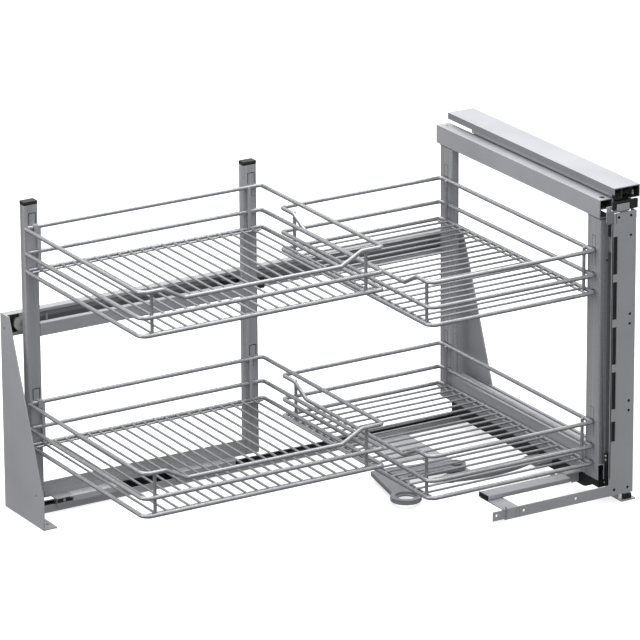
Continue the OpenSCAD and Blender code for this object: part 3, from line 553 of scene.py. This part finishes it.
def softened(nodes, radius_mm, segments=2, material=None, outer_mm=0, recess=None):
    nodes = [nodes] if isinstance(nodes, str) else nodes
    first = nodes[0]
    build = clean_copy(first) if len(nodes) == 1 else one_sheet(nodes)
    bmesh.ops.dissolve_limit(build, angle_limit=radians(FLAT_DEG), verts=build.verts,
                             edges=build.edges, use_dissolve_boundaries=False)
    if recess:
        top = max(v.co.z for v in build.verts)
        upper = [f for f in build.faces if f.normal.z > 0.9
                 and f.calc_center_median().z > top - TOUCH]
        bmesh.ops.inset_region(build, faces=upper, thickness=recess[0] * MM,
                               depth=-recess[1] * MM, use_even_offset=True,
                               use_boundary=True)
    if outer_mm:
        low, high = box_of([v.co for v in build.verts])
        corners = []
        for e in build.edges:
            middle = (e.verts[0].co + e.verts[1].co) / 2
            on = [min(middle[i] - low[i], high[i] - middle[i]) < TOUCH for i in range(3)]
            if e.calc_length() > OUTER_EDGE_MIN and sum(on) == 2:
                corners.append(e)
        bmesh.ops.bevel(build, geom=corners, offset=outer_mm * MM, offset_type="OFFSET",
                        segments=3, profile=0.5, affect="EDGES", clamp_overlap=False)
    sharp = [e for e in build.edges
             if e.is_manifold and e.calc_face_angle(0.0) > radians(SHARP_DEG)]
    bmesh.ops.bevel(build, geom=sharp, offset=radius_mm * MM, offset_type="OFFSET",
                    segments=segments, profile=0.5, affect="EDGES", clamp_overlap=True)
    mesh = close_mesh(first + "_soft", build, smooth_angle=SHARP_DEG)
    return flat_faces(place_piece(first + "_soft", mesh, material or finish_of[slot_of[first]],
                                  body_of[first], nodes))


folded = [["left_bracket", "left_foot_flange"], ["right_bracket", "right_foot_flange"],
          ["rear_top_rail", "rear_rail_tracks", "rear_rail_lips"],
          ["rear_floor_rail", "floor_rail_walls"], "top_cover", "runner_floor_angle",
          "frame_top_rail", "door_column", "column_hanger_plate", "door_bar", "bar_bracket",
          "carriage_floor_beam", "top_runner_outer", "top_runner_middle", "top_runner_inner",
          "bottom_runner_outer", "bottom_runner_middle", "bottom_runner_inner"]
for node in folded:
    softened(node, 0.5)
print("folded pieces:", len(folded))

# %% [markdown]
# The posts and beams are tube. The small plates and the long one behind the door column
# catch more or less light than the rest, which the paler and the darker coat stand for.

# %% Tubes and plates
tubes = ["frame_rear_post", "frame_front_post", "frame_bottom_rail", "cross_tube",
         "carriage_left_post", "carriage_right_post", "carriage_top_beam"]
for node in tubes:
    softened(node, 0.35, outer_mm=1.6, material=coated_tube if "post" in node else None)
plates = {"lever_base_plate": painted_light_coat, "tube_end_plate": painted_light_coat,
          "column_spacers": painted_mid_shade}
for node, material in plates.items():
    softened(node, 0.5, material=material)
print("tubes:", len(tubes), "plates:", len(plates))

# %% [markdown]
# A moulded piece has rounder edges than sheet, because its mould is milled. The lever and
# the drag arm have a raised border, which keeps a thin arm stiff. Pins and screws are
# turned, and so have only a fine break along their edges.

# %% Moulded and turned pieces
moulded_nodes = ["track_liner", "front_bumper", "frame_glide_strip", "column_top_guide",
                 "cross_tube_cap", "post_caps", "catch_block"]
for node in moulded_nodes:
    softened(node, 0.9, segments=3)
for node, depth in (("swing_lever", 1.2), ("drag_arm", 1.0)):
    softened(node, 0.5, segments=3, recess=(1.8, depth))
for node in ("left_top_roller", "right_top_roller", "left_floor_roller", "right_floor_roller"):
    softened(node, 1.0, segments=3)
for node in ("lever_pivot_pin", "roller_axles", "bar_screws", "rail_screws"):
    softened(node, 0.3, material=zinc_z)
print("softened pieces:", len([n for n in pieces if n.endswith("_soft")]))

# %% [markdown]
# Inside a deep channel the coat looks much darker than outside. The light of this small
# studio alone doesn't make it dark enough, so the faces that look into a channel get
# painted shade: the dark or the middling coat. The cover's left face and the faces of
# the lower buffer get the middling coat as painted shade. The inside of the cover and
# the front ends of the runner's members are painted black, as painted shade, for the
# same reason.

# %% Painted shade in channels and on shaded faces
def second_finish(piece, material, test):
    """Another finish for the faces that pass: the test takes their centre (mm) and normal."""
    piece.data.materials.append(material)
    count = 0
    for face in piece.data.polygons:
        if test(face.center / MM, face.normal):
            face.material_index = 1
            count += 1
    return count


cover = pieces["top_cover_soft"]
print("shaded faces of the cover:",
      second_finish(cover, painted_mid_shade, lambda c, n: c.x < 384.0 and n.x < -0.5))
# Painted shade: the faces inside the cover are painted black.
cover.data.materials.append(black_nylon)
for face in cover.data.polygons:
    c = face.center / MM
    if 384.2 < c.x < 430.8 and c.z < 520.8 and abs(face.normal.y) < 0.5:
        face.material_index = 2
print("dark faces inside the frame rail:", second_finish(
    pieces["frame_top_rail_soft"], painted_deep_shade,
    lambda c, n: 366.8 < c.x < 389.2 and 472.8 < c.z < 501.2 and abs(n.y) < 0.5))
print("shaded faces inside the rear rail:", second_finish(
    pieces["rear_top_rail_soft"], painted_mid_shade,
    lambda c, n: 235.0 < c.y < 249.2 and 288.0 < c.z < 322.0 and abs(n.x) < 0.5))
# Painted shade: the lower buffer's faces get the middling coat.
print("steel faces of the lower buffer:", second_finish(
    pieces["column_top_guide_soft"], painted_mid_shade, lambda c, n: 417.0 < c.z < 442.9))
# Painted shade: the front end faces of the runner's members are painted black.
for node in ("top_runner_outer", "top_runner_middle", "top_runner_inner"):
    member = pieces[node + "_soft"]
    front = min(v.co.y for v in member.data.vertices) / MM
    print("dark end faces of", node, second_finish(
        member, black_nylon, lambda c, n: n.y < -0.5 and c.y < front + 3))

# %% [markdown]
# Small parts are built up from two shapes: a block with a fine bevel all round, and a
# turned body, whose outline is carried round an axis as on a lathe.

# %% Blocks and turned shapes
def slab(build, low, high, bevel_mm=0.4):
    grown = bmesh.ops.create_cube(build, size=1.0)
    size = Vector(high) - Vector(low)
    middle = (Vector(high) + Vector(low)) / 2
    for v in grown["verts"]:
        v.co = Vector((v.co.x * size.x, v.co.y * size.y, v.co.z * size.z)) * MM + middle * MM
    edges = list(dict.fromkeys(e for v in grown["verts"] for e in v.link_edges))
    bmesh.ops.bevel(build, geom=edges, offset=bevel_mm * MM, segments=2, profile=0.5,
                    affect="EDGES", clamp_overlap=True)


def turned(build, base, axis, profile, sides=20):
    """A body of revolution: profile is a list of (radius, height) along the axis from base."""
    axis = Vector(axis).normalized()
    across = axis.orthogonal().normalized()
    other = axis.cross(across)
    rings = []
    for radius, height in profile:
        middle = Vector(base) + axis * height
        rings.append([build.verts.new((middle + (across * cos(2 * pi * k / sides)
                      + other * sin(2 * pi * k / sides)) * max(radius, 0.02)) * MM)
                      for k in range(sides)])
    for low, high in zip(rings, rings[1:]):
        for k in range(sides):
            build.faces.new((low[k], low[(k + 1) % sides], high[(k + 1) % sides], high[k]))
    build.faces.new(rings[0])
    build.faces.new(rings[-1])


test_build = bmesh.new()
slab(test_build, (0, 0, 0), (10, 10, 10))
print("a bevelled block has", len(test_build.faces), "faces")
test_build.free()

# %% [markdown]
# The baskets hang on the posts. At the carriage a flat bar stands in front of the wires
# and a saddle plate behind it is folded back into a slot of the post. At the front frame
# a turned stud behind each wire keeps it off the post and takes the screw.

# %% Basket hangers
FRAME_STUDS_Y = (-216.5, 213.5)
STUD_PROFILE = [(2.4, 0), (3.0, 0.3), (3.0, 1.4), (4.0, 1.8), (4.0, 3.1), (3.7, 3.4)]
build = bmesh.new()
for z in REAR_LEVELS.values():
    slab(build, (-407.5, 202.6, z - 2.5), (-389.5, 204, z + 71.5))
    slab(build, (-397.5, 195.3, z + 60), (-390.2, 196.9, z + 73))
    slab(build, (-397.5, 195.5, z + 71.6), (-390.2, 204, z + 73))
    slab(build, (-390.6, 197.0, z - 4), (-385.0, 201.0, z + 70.5), 0.6)
    slab(build, (-17, 202.6, z - 2.5), (2, 204, z + 71.5))
    slab(build, (-15.4, 195.1, z - 4), (-10.4, 197.7, z + 71), 0.9)
    slab(build, (-5.2, 201.4, z + 55), (-2.4, 203.0, z + 69))
    slab(build, (-5.2, 200.4, z + 55), (0.4, 203.0, z + 57))
flat_faces(place_piece("rear_hanger_plates", close_mesh("rear_hanger_plates", build),
                       coated_steel, "rear_carriage", ("rear_hangers",)))
build = bmesh.new()
for z in FRONT_LEVELS.values():
    for y in FRAME_STUDS_Y:
        for height in (0, MIDDLE, TOP):
            turned(build, (362.6, y, z + height), (1, 0, 0), STUD_PROFILE)
# Painted shade: the studs get the dark coat for the shade behind the wires.
place_piece("front_hanger_studs", close_mesh("front_hanger_studs", build), painted_deep_shade,
            "front_frame", ("front_hangers",))
print("hangers placed")

# %% [markdown]
# Small things tell a real fitting from a block. One helper makes a detail from blocks,
# turned bodies and screw heads. The first ones are thin: the stamped slots in the
# frame's posts, which the hangers drop into, and the gap above each post. They are dark
# strips laid on the post, painted shade for the inside of each slot and gap.

# %% Slots and gaps of the frame's posts
SLOT_LINE, SLOT_BOTTOM, SLOT_TOP = 0.8, 42, 92


def screw_head(build, base, axis, radius):
    turned(build, base, axis, [(radius, 0), (radius, 0.5), (radius * 0.85, 1.1),
                               (radius * 0.4, 1.3), (radius * 0.36, 0.6), (0.1, 0.6)])


def detail(name, material, body, boxes=(), rounds=(), screws=(), bevel_mm=0.3):
    build = bmesh.new()
    for low, high in boxes:
        slab(build, low, high, bevel_mm)
    for base, axis, profile in rounds:
        turned(build, base, axis, profile)
    for base, axis, radius in screws:
        screw_head(build, base, axis, radius)
    return flat_faces(place_piece(name, close_mesh(name, build), material, body))


slits = []
for z in FRONT_LEVELS.values():
    for y in FRAME_STUDS_Y:
        for side in (-5.0, 4.2):
            slits.append(((365.85, y + side, z + SLOT_BOTTOM),
                          (366.5, y + side + SLOT_LINE, z + SLOT_TOP)))
        slits.append(((365.85, y - 5.0, z + SLOT_TOP - SLOT_LINE),
                      (366.5, y + 5.0, z + SLOT_TOP)))
# Painted shade: dark strips for the inside of the slots and of the gaps.
detail("post_hanger_slots", painted_deep_shade, "front_frame", boxes=slits, bevel_mm=0.1)
detail("post_top_gaps", painted_deep_shade, "front_frame", bevel_mm=0.1,
       boxes=[((365.8, -234.7, 471.0), (379.7, -198, 472.2)),
              ((365.8, 196, 471.0), (379.7, 231.7, 472.2))])
print("slot outlines:", len(slits))

# %% [markdown]
# The door column is a folded sheet with punched holes and slots. Behind it lies a black
# sheet that shows through them, painted shade for the dark inside of the column, with a
# black disc behind each hole. The punched edges lie in shadow, so they are painted black
# as painted shade. A pale strip along the left edge is a painted highlight on its rounded
# fold. Two tabs join the column to the rail above it; the side one is painted darker, as
# painted shade.

# %% Painted shade and highlight of the door column, and its tabs
COLUMN_X, COLUMN_Z = 376.6, 16
holes = [(35, 460), (35, 428), (35, 298.5), (35, 282.5), (35, 154.4), (35, 138.4), (35, 9.4),
         (9.7, 9.4), (12.3, 460)]
HOLE_SHADE_DISC = [(3.4, 0), (3.4, 0.6)]
print("punched edges in shadow:", second_finish(
    pieces["door_column_soft"], black_nylon, lambda c, n: abs(n.y) < 0.5 and any(
        hypot(c.x - COLUMN_X - x, c.z - COLUMN_Z - z) < 4.2 for x, z in holes)))
detail("column_painted_shade_sheet", black_nylon, "front_frame", bevel_mm=0.1,
       boxes=[((378.2, -249.9, 60), (388.2, -249.3, 462)),
              ((386, -249.9, 470), (423, -249.3, 482.5))],
       rounds=[((COLUMN_X + x, -249.3, COLUMN_Z + z), (0, -1, 0), HOLE_SHADE_DISC) for x, z in holes])
detail("column_edge_painted_highlight", painted_light_coat, "front_frame", bevel_mm=0.2,
       boxes=[((376.5, -251.5, 45), (378.6, -251.0, 465.5))])
detail("column_top_tab", coated_steel, "front_frame",
       boxes=[((380, -251.5, 466.2), (385, -249.6, 482.8)),
              ((385, -251.4, 486.5), (408.5, -250.4, 497.2))])
detail("column_side_tab", painted_mid_shade, "front_frame",
       boxes=[((368.6, -251.0, 467.4), (380.4, -250.0, 488)),
              ((372, -251.2, 484), (409, -250.6, 488))])
print("holes of the column:", len(holes))

# %% [markdown]
# The front post is an open tube, closed at its foot by a ribbed black insert. Its end
# is drawn as a pale line round it, a painted highlight, and the screw heads beside it get
# the same pale coat of painted light. The rail above has a recessed hole for the screw
# that clamps it to the runner, drawn as a black disc, painted shade for the recess.

# %% Foot and top of the frame
RIB_LEVELS = (43, 46.5, 50, 53.5, 57, 60.5)
detail("post_foot_insert", black_nylon, "front_frame", bevel_mm=0.2,
       boxes=[((367.7, -234.4, 41), (377.8, -231.2, 64.6)),
              ((366.2, -237, 28.4), (384.5, -204, 39.8))] +
             [((367.9, -234.8, z), (377.6, -234.0, z + 1.1)) for z in RIB_LEVELS])
detail("post_foot_strip", painted_light_coat, "front_frame",
       boxes=[((376.4, -235.4, 40), (379.4, -234.4, 66)),
              ((366.4, -235.2, 64.6), (379.4, -234.4, 66))],
       screws=[((377, -241, 74.5), (-1, 0, 0), 1.9), ((377, -241, 81), (-1, 0, 0), 1.9),
               ((378.4, -237, 35.5), (0, -1, 0), 2.2)])
detail("post_stop_screw", black_nylon, "front_frame",
       screws=[((377.6, -236.5, 404.2), (0, -1, 0), 1.5)])
detail("rail_top_recess", black_nylon, "front_frame",
       rounds=[((378, -219.5, 501.5), (0, 0, 1),
                [(4.4, 0), (4.4, 0.5), (3.8, 0.6), (0.2, 0.6)])])
detail("rail_top_screw", zinc_z, "front_frame",
       screws=[((378, 229.5, 501.6), (0, 0, 1), 2.6)])
print("pieces so far:", len(pieces))

# %% [markdown]
# The door bar steps back once near its end, which is drawn as two pale lines, painted
# highlights on the step, and it ends with a gap before its bracket, drawn as a dark strip
# of painted shade. The cross tube's end plate has an ear with a screw, in the pale coat of
# painted light.

# %% Door bar and cross tube
detail("tube_end_ear", painted_light_coat, "front_frame", bevel_mm=0.6,
       boxes=[((350.8, -182.8, 22), (365.6, -181.5, 44))],
       screws=[((358.9, -182.8, 26.5), (0, -1, 0), 2.4)])
detail("bar_end_gap", painted_deep_shade, "front_frame", bevel_mm=0.1,
       boxes=[((183.2, -251.5, 16.6), (184.6, -250.4, 37.5))])
detail("bar_joggle", painted_light_coat, "front_frame", bevel_mm=0.2,
       boxes=[((202, -251.5, 16.5), (203, -250.8, 33.5)),
              ((208.6, -251.5, 16.5), (209.6, -250.8, 33.5)),
              ((260.5, -251.5, 20.0), (266, -250.8, 21.2))])
print("pieces so far:", len(pieces))

# %% [markdown]
# What is fixed to the cabinet has small plastic parts: a clip in the cover, a stop at
# the left end of the upper rail and a pin in it. The rail's web is pressed out along its
# middle to stiffen it, and a black strip stands along the back of the floor rail's track.

# %% Rails and cover
detail("cover_clip", white_acetal, "fixed_frame",
       boxes=[((424.6, -233.6, 503), (428.2, -233.0, 506.5)),
              ((425.4, -233.6, 506.2), (427.2, -233.0, 510.5))])
detail("rail_end_stop", black_nylon, "fixed_frame",
       boxes=[((-430.5, 243.0, 290), (-404, 248.2, 321)),
              ((-430.5, 233.3, 316.6), (-408.5, 234.4, 322.6))])
detail("rail_stop_pin", white_acetal, "fixed_frame",
       rounds=[((-352, 247.9, 298.5), (0, 0, 1), [(1.0, 0), (1.4, 0.5), (1.4, 10), (1.0, 10.5)])])
detail("rail_web_rib", coated_steel, "fixed_frame",
       boxes=[((-404, 247.4, 305), (400, 248.6, 311.5))], bevel_mm=0.5)
detail("track_back_strip", black_nylon, "fixed_frame",
       boxes=[((-300, 213.2, 9), (-40, 215, 19.4))])
print("pieces so far:", len(pieces))

# %% [markdown]
# The carriage has a black housing beside its right post, which the catch works in, and a
# black cheek with a rivet beside the left floor roller. The shelf above the roller ends
# in a rounded lip, drawn in the pale coat as painted light. The lever's ring has a ledge
# inside, swept as a wire.

# %% Carriage and lever
detail("catch_housing", black_nylon, "rear_carriage",
       boxes=[((-50, 219.6, 301), (-21, 230.5, 316)), ((-24, 219.6, 304), (-19, 226, 314))])
detail("fork_side", black_nylon, "rear_carriage",
       boxes=[((-374, 183.9, 14.5), (-347, 184.9, 21.2))])
detail("fork_rivets", zinc_z, "rear_carriage",
       screws=[((-362, 184.0, 17.5), (0, -1, 0), 2.6)])
detail("shelf_end", painted_light_coat, "rear_carriage", bevel_mm=0.8,
       boxes=[((-346, 184.5, 21.4), (-252, 206, 22.9)),
              ((-346, 183.2, 13.0), (-252, 185.2, 22.9)),
              ((-352, 183.2, 20.2), (-344, 185.2, 22.9))])
RING_X, RING_Y, LEDGE_Z, LEDGE_RING_R, LEDGE_R = 111.5, -72.7, 8.2, 15.6, 2.0
ledge = [Vector((RING_X + LEDGE_RING_R * cos(t * pi / 24),
                 RING_Y + LEDGE_RING_R * sin(t * pi / 24), LEDGE_Z)) for t in range(48)]
build = bmesh.new()
sweep(build, ledge, LEDGE_R, True, sides=10)
place_piece("ring_ledge", close_mesh("ring_ledge", build), grey_abs, "lever")
print("pieces in all:", len(pieces))

# %% [markdown]
# The camera stands where the photographer's did: far away with a long lens, 31 degrees
# to the left of the door and 19 degrees above. The image is 640 by 640 pixels.

# %% Camera
eye = Vector((-4.0356, -6.7521, 3.0215))
target = Vector((0.0175, 0.0314, 0.2930))
back = (eye - target).normalized()
right = Vector((0, 0, 1)).cross(back).normalized()
up = back.cross(right)
roll = radians(-0.344)
right, up = right * cos(roll) + up * sin(roll), up * cos(roll) - right * sin(roll)
lens = bpy.data.cameras.new("photo_camera")
lens.lens, lens.sensor_width, lens.sensor_fit = 299.8, 36.0, "HORIZONTAL"
lens.clip_start, lens.clip_end = 0.5, 60.0
camera = bpy.data.objects.new("photo_camera", lens)
camera.matrix_world = Matrix(((right.x, up.x, back.x, eye.x), (right.y, up.y, back.y, eye.y),
                              (right.z, up.z, back.z, eye.z), (0, 0, 0, 1)))
bpy.context.scene.collection.objects.link(camera)
bpy.context.scene.camera = camera
print("camera stands", round((eye - target).length, 2), "m away")

# %% [markdown]
# The photograph has a white ground and an even light from above and from the left, so
# tops are bright, left faces middling and front faces darker, and the underside of each
# wire is dark. A large soft panel hangs above, a weaker one stands to the left, and the
# room fades from pale above to dark below. The floor is white and shines a little of
# its own, so that the shadow on it stays faint, as in a catalogue picture.

# %% Floor and light
build = bmesh.new()
bmesh.ops.create_grid(build, x_segments=1, y_segments=1, size=30.0)
floor_mesh = bpy.data.meshes.new("studio_floor")
build.to_mesh(floor_mesh)
build.free()
floor_paint, tree, shader, place = new_material("white_studio_floor")
shader.inputs["Base Color"].default_value = colour("#c8c8c8")
shader.inputs["Roughness"].default_value = 0.9
shader.inputs["Specular IOR Level"].default_value = 0.1
shader.inputs["Emission Color"].default_value = colour("#ffffff")
shader.inputs["Emission Strength"].default_value = 0.72
floor_mesh.materials.append(floor_paint)
floor = bpy.data.objects.new("studio_floor", floor_mesh)
floor.location.z = -0.0005
floor.visible_diffuse = False
floor.visible_glossy = False
bpy.context.scene.collection.objects.link(floor)

world = bpy.data.worlds.new("pale_room")
world.use_nodes = True
tree = world.node_tree
background = tree.nodes["Background"]
heading = add_node(tree, "ShaderNodeTexCoord").outputs["Generated"]
height = add_node(tree, "ShaderNodeSeparateXYZ", Vector=heading).outputs["Z"]
room = add_node(tree, "ShaderNodeMapRange", Value=height)
room.inputs["From Min"].default_value = -1.0
fade = add_node(tree, "ShaderNodeValToRGB", Fac=room.outputs["Result"])
below, level = fade.color_ramp.elements
below.position, below.color = 0.34, colour("#747474")
level.position, level.color = 0.52, colour("#dadada")
above = fade.color_ramp.elements.new(0.95)
above.color = colour("#ffffff")
tree.links.new(fade.outputs["Color"], background.inputs["Color"])
background.inputs["Strength"].default_value = 0.95
bpy.context.scene.world = world


def panel(name, place, aim, size, power):
    light = bpy.data.lights.new(name, "AREA")
    light.shape, light.size, light.energy = "SQUARE", size, power
    lamp = bpy.data.objects.new(name, light)
    lamp.location = place
    lamp.rotation_euler = (Vector(aim) - Vector(place)).to_track_quat("-Z", "Y").to_euler()
    bpy.context.scene.collection.objects.link(lamp)


panel("ceiling_panel", (0.3, 0.6, 3.4), (0, 0, 0.2), 4.4, 165.0)
panel("left_panel", (-3.4, -0.4, 1.3), (0, 0, 0.3), 2.0, 26.0)
bpy.context.scene.view_settings.view_transform = "Standard"
